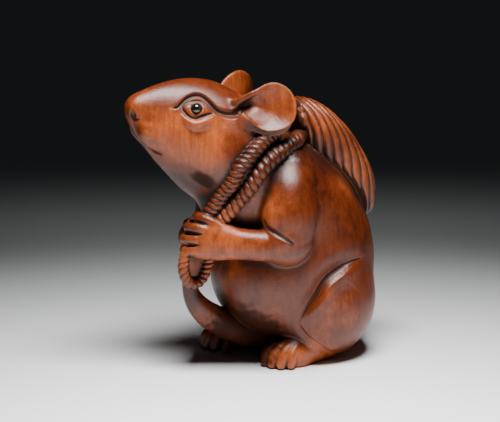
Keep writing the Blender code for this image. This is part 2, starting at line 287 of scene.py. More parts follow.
def sample(field, h, coarse=4):
    """The field on a grid, worked out only near the surface."""
    lo, hi = field.box()
    lo, hi = lo - 1.5, hi + 1.5
    n = (np.ceil((hi - lo) / (h * coarse)).astype(int) + 1) * coarse + 1
    nc, H = (n - 1) // coarse + 1, h * coarse
    grid = np.stack(np.meshgrid(*[lo[i] + H * np.arange(nc[i]) for i in range(3)], indexing="ij"), -1).reshape(-1, 3)
    dc = field(grid).reshape(nc)
    near, inside = np.abs(dc) < H * 1.9, dc < 0
    cell = np.zeros(nc - 1, bool)
    for o in np.ndindex(2, 2, 2):
        view = tuple(slice(k, k + m - 1) for k, m in zip(o, nc))
        cell |= near[view] | (inside[view] != inside[:-1, :-1, :-1])
    idx = [np.clip(np.round(np.arange(n[i]) / coarse).astype(int), 0, nc[i] - 1) for i in range(3)]
    V = np.where(dc[np.ix_(*idx)] < 0, -6.0, 6.0)
    mask = np.zeros(n, bool)
    ci = np.argwhere(cell) * coarse
    for o in np.ndindex(coarse + 1, coarse + 1, coarse + 1):
        q = ci + np.array(o)
        mask[q[:, 0], q[:, 1], q[:, 2]] = True
    V[mask] = field(lo + np.argwhere(mask) * h)
    return V, lo


def nets(V, lo, h):
    """Quads of the zero surface, one vertex a crossed cell."""
    s = V < 0
    n = np.array(V.shape)
    total = sum(s[tuple(slice(k, k + m - 1) for k, m in zip(o, n))].astype(np.int8) for o in np.ndindex(2, 2, 2))
    crossed = (total > 0) & (total < 8)
    ci = np.argwhere(crossed)
    number = np.full(n - 1, -1, np.int64)
    number[crossed] = np.arange(len(ci))
    at, count = np.zeros((len(ci), 3)), np.zeros(len(ci))
    corners = np.array(list(np.ndindex(2, 2, 2)))
    for a in range(8):
        for b in range(a + 1, 8):
            if np.abs(corners[a] - corners[b]).sum() != 1:
                continue
            va, vb = V[tuple((ci + corners[a]).T)], V[tuple((ci + corners[b]).T)]
            m = (va < 0) != (vb < 0)
            t = np.where(m, va / np.where(m, va - vb, 1), 0)
            at[m] += corners[a] + (corners[b] - corners[a]) * t[m, None]
            count[m] += 1
    verts = lo + (ci + at / count[:, None]) * h
    quads = []
    for axis in range(3):
        u, w = [(1, 2), (2, 0), (0, 1)][axis]
        s0, s1 = np.delete(s, -1, axis), np.delete(s, 0, axis)
        e = np.argwhere(s0 != s1)
        e = e[(e[:, u] > 0) & (e[:, w] > 0) & (e[:, u] < n[u] - 1) & (e[:, w] < n[w] - 1)]
        out = s0[tuple(e.T)]
        q = []
        for du, dw in ((-1, -1), (0, -1), (0, 0), (-1, 0)):
            f = e.copy()
            f[:, u] += du
            f[:, w] += dw
            q.append(number[tuple(f.T)])
        q = np.stack(q, 1)
        q[~out] = q[~out][:, ::-1]
        quads.append(q)
    return verts, np.concatenate(quads)


# ---------------------------------------------------------------- the carving, in millimetres

HEAD_AT, HEAD_YAW, HEAD_PITCH = np.array([-1.4, -13.2, 42.2]), 11.0, 10.5


def head_axes():
    """Columns: along the snout, to the rat's left, up."""
    y, p = np.radians([HEAD_YAW, HEAD_PITCH])
    flat, up = np.array([-np.sin(y), -np.cos(y), 0.0]), np.array([0, 0, 1.0])
    return np.stack([flat * np.cos(p) + up * np.sin(p), np.array([np.cos(y), -np.sin(y), 0.0]), up * np.cos(p) - flat * np.sin(p)], 1)


HEAD = head_axes()


def hp(s, l, u):
    return HEAD_AT + HEAD @ np.array([s, l, u])


def on_side(table, side):
    return [hp(s, l * side, u) for s, l, u in table]


SKULL = [(18.15, 0.7, -0.2, 0.4, 0.5), (17.75, 1.7, -1.1, 1.35, 0.5), (16.9, 2.6, -2.4, 2.0, 0.5), (15.4, 3.5, -4.2, 2.65, 0.47), (13.4, 4.6, -6.1, 3.45, 0.45),
         (11.0, 5.6, -8.2, 4.6, 0.44), (8.4, 6.35, -10.2, 5.9, 0.44), (5.5, 6.7, -12.3, 7.0, 0.45), (2.5, 6.5, -13.5, 7.8, 0.46), (-1.0, 5.5, -14.0, 8.1, 0.46),
         (-4.0, 4.2, -13.5, 7.8, 0.46), (-7.0, 2.0, -11.5, 6.4, 0.46), (-9.0, -0.5, -9.0, 4.4, 0.46), (-10.2, -3.0, -6.0, 1.5, 0.46)]


def fold(field, pts, groove, crest, groove_wide=0.45, crest_wide=1.3, side=1, fade=(0.15, 0.15), near_wide=0.16, n=10):
    """A carved crease: a cut along the curve, and behind it (on one side) a swell of the surface."""
    S = on(field, spline(pts, n))
    N, _ = slope(field, S, 0.15)
    T = rows(np.gradient(S, axis=0))
    B = rows(np.cross(T, N)) * side
    L = np.concatenate([[0], np.cumsum(np.linalg.norm(np.diff(S, axis=0), axis=1))])
    w = step01(L / L[-1], 0, max(fade[0], 1e-3)) * step01(1 - L / L[-1], 0, max(fade[1], 1e-3))

    def fn(P):
        j, t, _ = nearest(P, S)
        t1 = t[:, None]
        q = P - S[j] - (S[j + 1] - S[j]) * t1
        s, a = (q * B[j]).sum(1), (q * T[j]).sum(1)
        share = (w[j] + (w[j + 1] - w[j]) * t) * np.exp(-(a / 0.5) ** 2) * np.exp(-((q * N[j]).sum(1) / (2.5 * crest_wide)) ** 2)
        g = groove * np.exp(-(s / np.where(s < 0, groove_wide, near_wide)) ** 2)
        c = crest * step01(s, 0, 0.7 * crest_wide) * np.exp(-(np.maximum(s - 0.6 * crest_wide, 0) / crest_wide) ** 2)
        return share * (g - c)
    e = max(3.0 * crest_wide, 3.0 * groove_wide)
    return Form(S.min(0) - e, S.max(0) + e, fn)


def crease(block, *args, **kw):
    f = fold(block, *args, **kw)
    block.push(f.lo, f.hi, f.fn)


def body():
    """Trunk, neck, head, haunches and upper arms as one smooth mass."""
    b = Block()
    b.add(ellipsoid((0, 0.6, 14.9), (12.3, 15.4, 12.0)), 0)
    b.add(ellipsoid((0, 2.6, 21.0), (12.2, 11.5, 11.8)), 4)
    b.add(ellipsoid((0, 0.3, 27.5), (11.4, 9.9, 10.5)), 3)
    b.add(ellipsoid((0, -4.2, 28.0), (9.4, 9.8, 10.0)), 4)
    b.add(ellipsoid((0, 6.9, 7.8), (9.6, 8.2, 8.0)), 3)
    b.add(tube([(0.3, -5, 31), (0.0, -9.0, 34), (-0.8, -13, 37)], [8.6, 9.0, 8.0]), 3)
    b.add(ellipsoid((0, -10.2, 29.2), (6.5, 7.9, 7.0), euler(20)), 2.0)
    b.add(loft(HEAD_AT, HEAD, SKULL), 2.2)
    for side in (1, -1):
        b.add(ellipsoid((6.7 * side, 2.8, 9.8), (7.3, 9.5, 9.8), euler(-22)), 2.0)
        b.add(tube([(7.0 * side, -5.4, 34.0), (8.7 * side, -6.9, 31.0), (9.45 * side, -7.5, 27.5), (9.85 * side, -7.7, 24.6), (10.0 * side, -7.5, 22.6)], [4.0, 4.6, 4.95, 4.5, 3.8], 30), 0.9)
        b.add(ellipsoid((10.0 * side, -8.9, 22.5), (3.9, 3.9, 3.5)), 1.4)
    return b


FINGERS = [[(5.3, -18.4, 25.8), (3.7, -20.2, 26.9), (1.7, -20.6, 27.2), (-0.1, -19.7, 26.8)],
           [(5.2, -19.0, 24.5), (3.3, -21.3, 25.5), (1.0, -21.9, 25.5), (-0.8, -20.9, 25.1)],
           [(5.0, -19.3, 23.2), (3.0, -21.8, 23.7), (0.7, -22.5, 23.5), (-1.0, -21.6, 23.1)],
           [(4.8, -19.4, 22.0), (2.9, -21.8, 21.9), (0.8, -22.5, 21.6), (-0.9, -21.6, 21.2)]]


def arms(b):
    # Left forearm, flat along its top, widening into the back of a hand that closes round the ropes.
    b.add(strap([(10.2, -7.2, 22.0), (9.6, -9.6, 22.0), (8.5, -11.9, 22.3), (7.0, -14.2, 22.5), (5.9, -16.2, 22.8), (4.7, -18.2, 23.3), (3.2, -20.0, 23.9), (1.7, -20.9, 24.0), (0.3, -21.1, 23.8)],
                (0.8, -0.55, 0.2), [2.2, 2.6, 2.65, 2.65, 2.8, 3.4, 3.85, 3.6, 2.8], [2.4, 2.8, 2.9, 2.6, 2.4, 2.25, 2.1, 1.65, 1.1], p=2.4), 0.4)
    for path, thick in zip(FINGERS, (0.88, 0.95, 0.95, 1.02)):
        b.add(tube(path, [thick * 0.8, thick, thick * 0.95, thick * 0.8]), 0.16)
    # Right forearm and paw, meeting the left fist.
    b.add(tube([(-10.2, -8.2, 22.6), (-9.2, -12.0, 22.0), (-7.4, -15.0, 21.8), (-5.4, -17.0, 22.0), (-3.9, -18.0, 22.2)], [3.2, 2.7, 2.4, 2.4, 2.4]), 0.5)
    b.add(strap([(-7.4, -15.0, 21.8), (-5.4, -17.1, 22.1), (-3.6, -18.6, 22.5), (-2.2, -19.3, 22.6)], (-0.7, -0.7, 0.1), [2.3, 2.9, 3.2, 2.9], [2.2, 1.8, 1.4, 1.1], p=2.3), 0.8)
    for i in range(4):
        z = 24.8 - 1.6 * i
        b.add(tube([(-4.1, -18.2, z), (-3.2, -19.4 - 0.1 * i, z + 0.1), (-1.9, -20.1 - 0.12 * i, z + 0.1), (-0.8, -19.9 - 0.1 * i, z)], [0.9, 0.88, 0.8, 0.6]), 0.25)


TOES = {1: [(3.6, -8.9), (5.45, -9.9), (7.2, -9.65), (8.7, -8.75), (9.7, -7.3)], -1: [(-4.6, -11.0), (-6.6, -12.2), (-8.6, -12.6), (-10.4, -11.9), (-11.6, -10.3)]}


def feet(b):
    for side, hx, hy in ((1, 6.8, 0.0), (-1, -7.8, -2.4)):
        b.add(tube([(hx + 0.9 * side, hy + 4.2, 0.5), (hx + 1.2 * side, hy + 1.6, 1.3), (hx + 0.9 * side, hy - 1.6, 2.2), (hx + 0.2 * side, hy - 5.0, 2.3)], [0.6, 1.5, 2.5, 2.5]), 0.35)
        b.add(ellipsoid((hx + 0.2 * side, hy - 4.3, 2.0), (3.3, 3.7, 3.4)), 0.5)
        ax, ay = hx + 0.3 * side, hy - 1.6
        for k, (tx, ty) in enumerate(TOES[side]):
            w = [0.86, 1.0, 1.04, 1.06, 1.0][k]
            b.add(tube([(ax + (tx - ax) * a, ay + (ty - ay) * a, z) for a, z in ((0.3, 4.0), (0.62, 3.55), (0.85, 2.4), (0.94, 0.9))], [0.95, w, w * 0.98, w * 0.84]), 0.16)


EAR_RIM = spline([(-180, 4.48), (-156, 4.47), (-133, 4.56), (-110, 4.55), (-89, 4.47), (-67, 4.14), (-44, 3.84), (-24, 4.23), (-8, 5.1), (2, 5.9), (10, 5.4), (23, 4.66), (50, 3.92), (78, 3.79), (99, 3.88), (119, 3.92), (149, 4.33), (167, 4.5), (180, 4.48)], 8)


def ear_axes(side):
    c = hp(-3.9, 8.7, 3.9) if side > 0 else hp(-4.9, -8.5, 3.75)
    return c, axes(HEAD @ rows([0.42, 0.89 * side, 0.16]), HEAD @ np.array([-0.04, 0.0, 1.0]))


def ear_dish(q, side, inset=0.0):
    """Local ear coordinates (x up, y to the front): distance out, the rim's reach that way, and the height of the cup's floor."""
    up, ahead = q[:, 0], q[:, 1] * side
    rho = np.hypot(up, ahead) + 1e-6
    reach = np.interp(np.degrees(np.arctan2(-up, ahead)), EAR_RIM[:, 0], EAR_RIM[:, 1])
    reach = (reach if side > 0 else 0.35 * reach + 3.4) - inset
    x = rho / reach
    cone = -1.95 * (1.1 - np.sqrt(x ** 2 + 0.2)) + 0.3 * x ** 4 * np.clip(-up / rho, 0, 1)
    across, along = (up + 0.84 * ahead - 3.1) / 1.306, (ahead - 0.84 * up) / 1.306
    valley = -1.15 * np.exp(-(across / 1.05) ** 2) * step01(along, 0.2, 3.8)
    return rho, reach, x, cone + valley - 0.85 * step01(ahead, 2.6, 6.0) * np.exp(-(up / 1.8) ** 2)


def ear(side, wall=0.8):
    c, M = ear_axes(side)

    def fn(P):
        q = (P - c) @ M
        rho, reach, x, floor = ear_dish(q, side)
        half = wall * (1.35 - 0.65 * np.minimum(x, 1)) / 2
        low = step01(-q[:, 0] / rho, 0.0, 0.9)
        d = np.maximum(q[:, 2] - floor + 0.1 - half, floor - 0.1 - half - 0.9 * low * step01(x, 0.2, 0.8) - q[:, 2]) * 0.87
        return smax(d, (rho - reach - 0.75 * low * np.clip((floor - 0.2 - q[:, 2]) / 0.9, 0, 1)) * 0.85, 0.28)
    return Form(c - 7.0, c + 7.0, fn)


def ear_hollow(side):
    c, M = ear_axes(side)

    def fn(P):
        q = (P - c) @ M
        rho, reach, x, floor = ear_dish(q, side, 0.3)
        return smax(smax(floor + 0.25 - q[:, 2], (rho - reach) * 0.85, 0.4) * 0.8, q[:, 2] - 3.0, 0.4)
    return Form(c - 7.0, c + 7.0, fn)


SACK_AT, SACK_SIZE, SACK_TURN = np.array([1.5, 6.9, 34.2]), np.array([8.0, 5.0, 13.6]), euler(36, 0, 4.3)


def sack():
    """Pleats start along the ridge at the gathered neck and turn down to a sharp lower edge."""
    shell = ellipsoid(SACK_AT, SACK_SIZE, SACK_TURN, 2.1)
    n1, n2, n3 = rows([-0.30, 0.65, 0.70]), rows([0.36, 0.65, 0.67]), rows([0.0, 0.953, 0.302])

    def fn(P):
        under = np.maximum(24.05 - P @ n1, 24.6 - P @ n2)
        out = np.sqrt((P[:, 0] - 1.5) ** 2 + 0.6)
        wave = np.sin(np.pi * (0.588 * out + 0.809 * P[:, 1] + 0.2 * np.maximum(-under - 1.2, 0) ** 1.8 + 0.5) / 1.7)
        deep = 0.5 * step01(P[:, 2] - 0.3 * P[:, 1], 17.0, 22.0) * (1 - 0.5 * step01(-under, 3.5, 7.0))
        d = shell.fn(P) + deep * (1 - np.abs(wave) ** 0.7) - 0.14
        return smax(smax(d, under, 0.3), 11.3 - P @ n3, 0.5)
    return Form(shell.lo - 0.6, shell.hi + 0.6, fn)


def twist(pts, r, spacing, strands=2, turn=1, deep=0.28, n=12):
    """Rope of laid strands: grooves wind round the curve."""
    S = spline(pts, n)
    T = rows(np.gradient(S, axis=0))
    N = [rows(np.array([0, 0, 1.0]) - T[0] * T[0][2])]
    for t in T[1:]:
        N.append(rows(N[-1] - t * (N[-1] @ t)))
    N = np.array(N)
    B = np.cross(T, N)
    L = np.concatenate([[0], np.cumsum(np.linalg.norm(np.diff(S, axis=0), axis=1))])

    def fn(P):
        j, t, d = nearest(P, S)
        t1 = t[:, None]
        e = P - S[j] - (S[j + 1] - S[j]) * t1
        nn, bb = N[j] * (1 - t1) + N[j + 1] * t1, B[j] * (1 - t1) + B[j + 1] * t1
        a = np.arctan2((e * bb).sum(1), (e * nn).sum(1))
        s = L[j] + (L[j + 1] - L[j]) * t
        g = np.abs(np.sin(0.5 * strands * a * turn - np.pi * s / spacing))
        return d - r * (1 - deep * (1 - g ** 0.55))
    return Form(S.min(0) - r, S.max(0) + r, fn)


FRONT_ROPE = [(7.6, -8.6, 41.2), (7.17, -10.64, 40.15), (7.6, -13.27, 38.61), (7.47, -14.76, 37.25), (7.03, -16.03, 35.82), (6.14, -16.8, 33.29), (5.1, -17.7, 31.5), (4.0, -18.4, 29.6), (2.9, -19.2, 27.6), (2.2, -20.0, 25.0)]
BACK_ROPE = [(5.6, -1.4, 40.6), (6.6, -3.2, 39.6), (7.0, -4.97, 38.81), (8.04, -8.08, 37.95), (8.45, -10.26, 36.98), (8.46, -11.92, 35.77), (8.16, -13.14, 34.37), (7.48, -14.08, 32.51), (6.7, -15.2, 30.7), (5.7, -16.4, 28.9), (4.8, -17.4, 27.3), (3.8, -18.6, 25.0)]
LOOP = [(1.3, -22.0, 23.0), (1.2, -22.9, 21.0), (1.0, -23.2, 19.2), (1.0, -23.1, 17.6), (1.0, -22.4, 16.2), (1.0, -21.1, 15.45), (1.0, -19.7, 16.0), (1.0, -18.6, 17.5), (1.0, -18.0, 19.2), (1.2, -17.6, 21.2)]
TAIL = [(0, 9, 2.4, 2.6), (-0.4, 2, 2.5, 2.6), (-1.0, -5, 3.6, 2.6), (-1.3, -11, 5.7, 2.6), (-1.2, -15.2, 7.9, 2.45), (-1.0, -18.0, 10.0, 2.1), (-1.0, -19.7, 12.1, 1.7), (-1.0, -20.5, 14.2, 1.38), (-0.8, -20.7, 17.2, 1.35), (-0.6, -20.6, 20.5, 1.35), (-0.3, -20.0, 24.0, 1.3)]

EYE_OPEN = [(10.0, 4.33, 1.97), (8.89, 4.41, 2.85), (7.67, 4.63, 3.26), (6.58, 4.99, 3.21), (5.55, 5.65, 2.49), (4.89, 6.11, 1.83), (5.57, 6.05, 1.2), (6.61, 6.0, 0.45), (7.64, 5.8, 0.1), (8.66, 5.4, 0.3), (9.48, 4.9, 1.0)]
BROW_FOLD = [(11.7, 3.81, 1.45), (10.7, 4.11, 1.76), (10.1, 4.16, 2.31), (9.27, 4.04, 3.26), (8.2, 4.02, 3.94), (7.29, 4.14, 4.18), (6.5, 4.5, 3.99), (5.71, 5.1, 3.4), (4.89, 5.73, 2.61), (4.03, 6.14, 2.1), (2.66, 6.38, 1.93), (1.47, 6.37, 2.0), (0.6, 6.4, 2.3)]
LOWER_LID = [(9.6, 4.9, 0.35), (8.7, 5.45, -0.3), (7.65, 5.9, -0.55), (6.6, 6.15, -0.2), (5.56, 6.25, 0.5), (4.8, 6.25, 1.2)]
CHEEK_CREST = [(9.41, 5.15, 0.02), (8.18, 5.75, -0.4), (6.97, 6.21, -0.36), (5.32, 6.62, 0.11), (4.27, 6.55, 1.06)]
BEAD = (7.71, 5.22, 2.02)
BEAD_RADIUS = 0.9


def eye(b, base, side):
    bead = on(base, on_side([BEAD], side))[0]
    out = slope(base, bead[None], 0.1)[0][0]
    b.add(tube(on(base, on_side(CHEEK_CREST, side), -0.5), [0.3, 0.6, 0.7, 0.65, 0.4]), 0.9)
    b.cut(tube(on(base, on_side(BROW_FOLD, side), 0.32), [0.12, 0.3, 0.4, 0.5, 0.56, 0.6, 0.64, 0.64, 0.64, 0.66, 0.68, 0.7, 0.75]), 0.4)
    b.add(ellipsoid(bead - out * 1.35 + HEAD @ np.array([-0.2, 0, -0.15]), (3.1, 2.05, 1.75), axes(out, HEAD[:, 0]) @ euler(0, 0, 4 * side)), 0.2)
    b.add(tube(on(b, on_side(LOWER_LID, side), -0.18), [0.3, 0.6, 0.78, 0.78, 0.68, 0.4]), 0.45)
    b.cut(tube(on(base, on_side(BROW_FOLD, side), -0.25), [0.1, 0.18, 0.26, 0.3, 0.32, 0.33, 0.35, 0.37, 0.4, 0.42, 0.42, 0.4, 0.4]), 0.12)
    b.cut(tube(on(b, on_side(EYE_OPEN, side), 0.0), [0.29] * len(EYE_OPEN), closed=True), 0.15)
    b.cut(tube([bead + out * 0.2, bead + out * 3], [BEAD_RADIUS + 0.07] * 2, 1), 0.08)
    return bead, out


THIGH_FOLD = [(11.9, 7.6, 18.3), (12.7, 3.9, 18.1), (12.8, 0.8, 17.1), (12.3, -1.7, 15.5), (11.7, -3.2, 13.3), (10.9, -4.5, 11.1), (10.2, -5.2, 9.3), (9.9, -5.5, 8.0)]
KNEE_FOLD = [(9.9, -5.6, 9.0), (10.0, -5.1, 7.2), (10.5, -4.1, 5.6), (11.0, -2.6, 4.3), (11.0, -0.6, 3.0), (10.3, 1.8, 1.5)]
ELBOW_FOLD = [(9.2, -12.3, 26.6), (10.1, -12.3, 25.7), (11.6, -11.9, 25.1), (12.7, -11.0, 24.3), (13.4, -9.8, 23.4)]
SLITS = [[(4.6, -20.9, 26.4), (3.4, -21.2, 26.4), (1.7, -21.6, 26.3), (-0.6, -20.6, 26.0)],
         [(4.4, -21.8, 24.8), (3.2, -22.1, 24.7), (1.5, -22.6, 24.5), (-0.9, -21.6, 24.1)],
         [(4.2, -22.2, 23.0), (3.0, -22.5, 22.8), (1.4, -22.9, 22.6), (-1.0, -21.8, 22.1)]]


def mirrored(pts, side):
    return [(x * side, y, z) for x, y, z in pts]


def carving():
    b = body()
    base = Block(b.steps)
    feet(b)
    arms(b)
    b.add(sack(), 0.2)
    for at, size in (((3.7, -1.5, 43.4), (1.3, 1.0, 1.2)), ((3.0, -1.9, 44.6), (1.5, 1.0, 0.9)), ((5.0, -1.0, 42.0), (0.9, 1.0, 1.3))):
        b.add(ellipsoid(at, size, euler(20, 0, 20)), 0.3)
    for side in (1, -1):
        c, M = ear_axes(side)
        local = lambda pts: [c + M @ np.array([u, a * side, z]) for u, a, z in pts]
        b.add(ellipsoid(hp(-2.4, 6.3 * side, 2.1), (3.4, 2.2, 2.9), HEAD), 1.2)
        b.add(ear(side), 0.8)
        b.cut(ear_hollow(side), 0.25)
        b.add(tube(local([(3.0, 1.7, -0.35), (2.22, 2.85, -0.2), (1.53, 3.75, -0.2), (0.8, 4.65, -0.5), (0.15, 5.45, -1.05), (0.0, 6.6, -1.6)]), [0.1, 0.3, 0.42, 0.55, 0.75, 0.7] if side > 0 else [0.1, 0.2, 0.3, 0.4, 0.6, 0.6]), 0.6)
        b.cut(tube([hp(2.6, 6.4 * side, 1.88), hp(1.5, 6.5 * side, 1.9), *local([(-1.65, 5.3, -0.35), (-0.95, 4.6, -0.85), (-0.2, 3.8, -1.15)])], [0.3, 0.42, 0.48, 0.5, 0.35]), 0.3)
    for side in (1, -1):
        b.add(ellipsoid(hp(13.2, 1.75 * side, -3.5), (2.9, 1.75, 1.7), HEAD @ euler(0, -24, 14 * side)), 1.2)
        b.cut(tube(on(base, on_side([(17.4, 1.6, -0.05), (17.2, 1.66, -0.75), (16.9, 1.66, -1.4)], side), -0.05), [0.26, 0.5, 0.34]), 0.15)
        b.cut(tube(on(base, on_side([(17.0, 1.66, -1.3), (16.75, 1.95, -1.35), (16.35, 2.25, -1.15)], side), 0.02), [0.3, 0.26, 0.14]), 0.15)
        b.cut(tube(on(b, on_side([(17.0, 1.3, -1.7), (16.7, 1.2, -2.3), (16.3, 1.1, -2.9), (14.87, 0.9, -4.7), (13.69, 1.3, -5.6), (12.57, 1.9, -6.1), (11.6, 2.6, -6.4)], side), 0.05), [0.1, 0.18, 0.25, 0.3, 0.36, 0.42, 0.22]), 0.2)
        crease(b, on_side([(16.2, 1.55, -2.45), (14.83, 2.49, -2.77), (13.14, 3.34, -3.12), (11.86, 3.95, -3.7), (11.2, 3.99, -4.97)], side), 0.1, 0.12, 0.5, 1.4, side, (0.2, 0.4), 0.45)
    eyes = [eye(b, base, side) for side in (1, -1)]
    for path, width in zip(SLITS, (0.17, 0.17, 0.17)):
        b.cut(tube(on(b, path, 0.0), [0.1, 0.24, 0.34, 0.15]), 0.15)
    b.cut(tube(on(b, ELBOW_FOLD, -0.05), [0.1, 0.3, 0.34, 0.28, 0.12]), 0.45)
    for side, firm in ((1, 1.0), (-1, 0.8)):
        crease(b, mirrored(THIGH_FOLD, side), 0.9 * firm, 0.45 * firm, 1.7, 2.1, -side, (0.4, 0.3), 0.7)
        b.cut(tube(on(b, mirrored(THIGH_FOLD, side), 0.0), [0.05, 0.16, 0.2, 0.2, 0.18, 0.16, 0.12, 0.05]), 0.12)
        crease(b, mirrored(KNEE_FOLD, side) if side > 0 else [(-9.9, -7.2, 8.6), (-10.4, -6.6, 6.6), (-11.0, -5.0, 5.0), (-11.3, -3.0, 3.8), (-11.0, -0.6, 2.6)], 0.5 * firm, 0.2 * firm, 0.6, 1.0, -side, (0.35, 0.2), 0.35)
    front = np.vstack([on(base, FRONT_ROPE[:7], 0.55), FRONT_ROPE[7:]])
    back = np.vstack([on(base, BACK_ROPE[:9], 0.5), BACK_ROPE[9:]])
    b.add(twist(back, 1.4, 1.2, 2, -1), 0.1)
    b.add(twist(front, 1.3, 1.0, 2, 1), 0.1)
    tail = np.array(TAIL)
    b.add(tube(tail[:, :3], tail[:, 3]), 0.4)
    b.add(strap([(0.6, -20.6, 22.0), (0.5, -20.7, 19.5), (0.5, -20.9, 17.0)], (1, 0, 0), [2.4, 2.3, 1.8], [0.5, 0.5, 0.5]), 0.2)
    b.add(twist(LOOP, 0.98, 0.95, 2, 1, 0.25), 0.1)
    b.clip(Form(*EVERYWHERE, lambda P: -P[:, 2]), 0.15)
    return b, eyes


# ---------------------------------------------------------------- meshes


def to_metres(v):
    return (np.asarray(v, float) + (0.0, SHIFT_Y, 0.0)) * 0.001


def new_object(name, verts, faces):
    mesh = bpy.data.meshes.new(name)
    mesh.vertices.add(len(verts))
    mesh.vertices.foreach_set("co", np.asarray(verts, np.float32).ravel())
    k = faces.shape[1]
    mesh.loops.add(len(faces) * k)
    mesh.loops.foreach_set("vertex_index", faces.astype(np.int32).ravel())
    mesh.polygons.add(len(faces))
    mesh.polygons.foreach_set("loop_start", np.arange(0, len(faces) * k, k, dtype=np.int32))
    mesh.update(calc_edges=True)
    mesh.validate()
    mesh.shade_smooth()
    made = bpy.data.objects.new(name, mesh)
    bpy.context.scene.collection.objects.link(made)
    return made


def points_of(mesh):
    co = np.empty(len(mesh.vertices) * 3, np.float32)
    mesh.vertices.foreach_get("co", co)
    return co.reshape(-1, 3).astype(float)


def thinned(made, triangles):
    """The object's mesh with its triangles cut down to a count, finest where it curves most."""
    step = made.modifiers.new("thin", "DECIMATE")
    step.ratio = min(1.0, triangles / (2.0 * len(made.data.polygons)))
    step.use_collapse_triangulate = True
    fine = bpy.data.meshes.new_from_object(made.evaluated_get(bpy.context.evaluated_depsgraph_get()))
    made.modifiers.clear()
    old, made.data = made.data, fine
    fine.name = made.name
    bpy.data.meshes.remove(old)
    fine.shade_smooth()
    return made


def paint(mesh, name, values):
    mesh.attributes.new(name, "FLOAT", "POINT").data.foreach_set("value", np.asarray(values, np.float32))


def relief(field, v):
    """How far each point lies in a hollow (0 to 1) and on an edge, at a fine and a broad scale."""
    n, _ = slope(field, v, 0.08)
    hollow = [np.clip((d - field(v + n * d)) / d, 0, 1) for d in (0.35, 0.9, 2.4)]
    edge = [np.clip((d + field(v - n * d)) / d, 0, 1) for d in (0.3, 0.9)]
    return hollow, edge


# Where handling has kept the staining pale (above a half) or left it dark (below); the same table also holds painted
# light and shade: paler on the feet where the floor lights them from below, darker on the tail in the shade under the
# belly.
WEAR_AND_LIGHT = [((1.5, -24.0, 41.0), 4.5, 0.45), ((4.2, -21.5, 39.0), 4.5, 0.5), ((-0.5, -21.6, 32.5), 4.5, -0.5), ((7.0, -15.0, 38.5), 4.0, -0.5), ((1.1, -17.7, 48.5), 5.0, -0.3), ((-7.6, -7.0, 48.2), 4.0, 0.6),
        ((8.0, -9.5, 47.5), 3.0, 0.4), ((10.8, -6.5, 35.0), 5.5, -0.7), ((10.5, -10.5, 29.0), 3.0, 0.3), ((11.8, 3.5, 26.0), 6.0, -0.2), ((9.0, -14.0, 22.5), 4.5, 0.2), ((5.8, -18.8, 23.2), 4.0, 0.35),
        ((0.5, -14.0, 17.0), 4.0, 0.45), ((6.0, -12.0, 12.0), 6.0, -0.25), ((9.0, -9.0, 1.0), 3.5, 0.7), ((10.2, -4.7, 1.0), 4.0, 0.5), ((8.5, -5.5, 5.2), 2.6, -0.6), ((13.0, -0.5, 11.0), 5.0, 0.2),
        ((13.4, 5.0, 9.0), 4.5, 0.1), ((12.8, 3.0, 20.5), 4.0, -0.1), ((8.2, -0.5, 35.5), 3.5, -0.6), ((8.8, 6.5, 33.0), 5.5, 0.55), ((6.0, 6.0, 42.0), 5.0, 0.25), ((-0.4, -20.8, 13.0), 4.0, -0.5), ((-8.0, -12.0, 2.0), 5.0, 0.1)]


def wear_and_light(v):
    total = np.full(len(v), 0.5)
    for centre, reach, amount in WEAR_AND_LIGHT:
        d = np.linalg.norm(v - centre, axis=1) / reach
        total += amount * np.exp(-d ** 2)
    return np.clip(total, 0, 1)


def dark_patch_and_shade(v):
    """A dark patch low on the throat in front of the ropes, painted shade between the feet and over the tail under the
    belly, and a painted shadow along the sack's undercut lower edge.
    """
    ragged = 0.18 * np.sin(v[:, 2] * 3.1 + 1.7 * np.sin(v[:, 1] * 2.3)) + 0.1 * np.sin(v[:, 1] * 7.0 + v[:, 2] * 3.0)
    q = v - (3.3, -20.5, 33.6)
    q[:, 2] += 0.45 * (0.59 * q[:, 0] + 0.81 * q[:, 1])
    throat = 1 - step01(np.linalg.norm(q / (2.5, 2.4, 1.6), axis=1) + 0.35 * ragged, 0.6, 1.1)
    # Painted shade under the belly, over the tail and between the feet.
    below = 1 - step01(np.linalg.norm((v - (1.0, -10.5, 4.5)) / (8.5, 9.5, 8.5), axis=1) + 0.4 * ragged, 0.68, 1.08)
    # Painted shadow in a band just below the sack's undercut edge.
    beside = sack().fn(v)
    return np.maximum(np.maximum(throat, below), 0.95 * step01(beside, 0.1, 0.6) * (1 - step01(beside, 1.4, 3.8)))


block, eyes = carving()
grid, corner = sample(block, CELL)
verts, quads = nets(grid, corner, CELL)
verts = settle(block, verts, 1, CELL * 0.6)
figure = thinned(new_object("carved_rat", to_metres(verts), quads), KEEP_TRIANGLES)
local = points_of(figure.data) * 1000.0 - (0.0, SHIFT_Y, 0.0)
(fine_hollow, mid_hollow, broad_hollow), (fine_edge, broad_edge) = relief(block, local)
paint(figure.data, "fine_hollow", fine_hollow)
paint(figure.data, "mid_hollow", mid_hollow)
paint(figure.data, "broad_hollow", broad_hollow)
paint(figure.data, "fine_edge", fine_edge)
paint(figure.data, "broad_edge", broad_edge)
paint(figure.data, "wear_and_light", wear_and_light(local))
paint(figure.data, "patch_and_shade", dark_patch_and_shade(local))


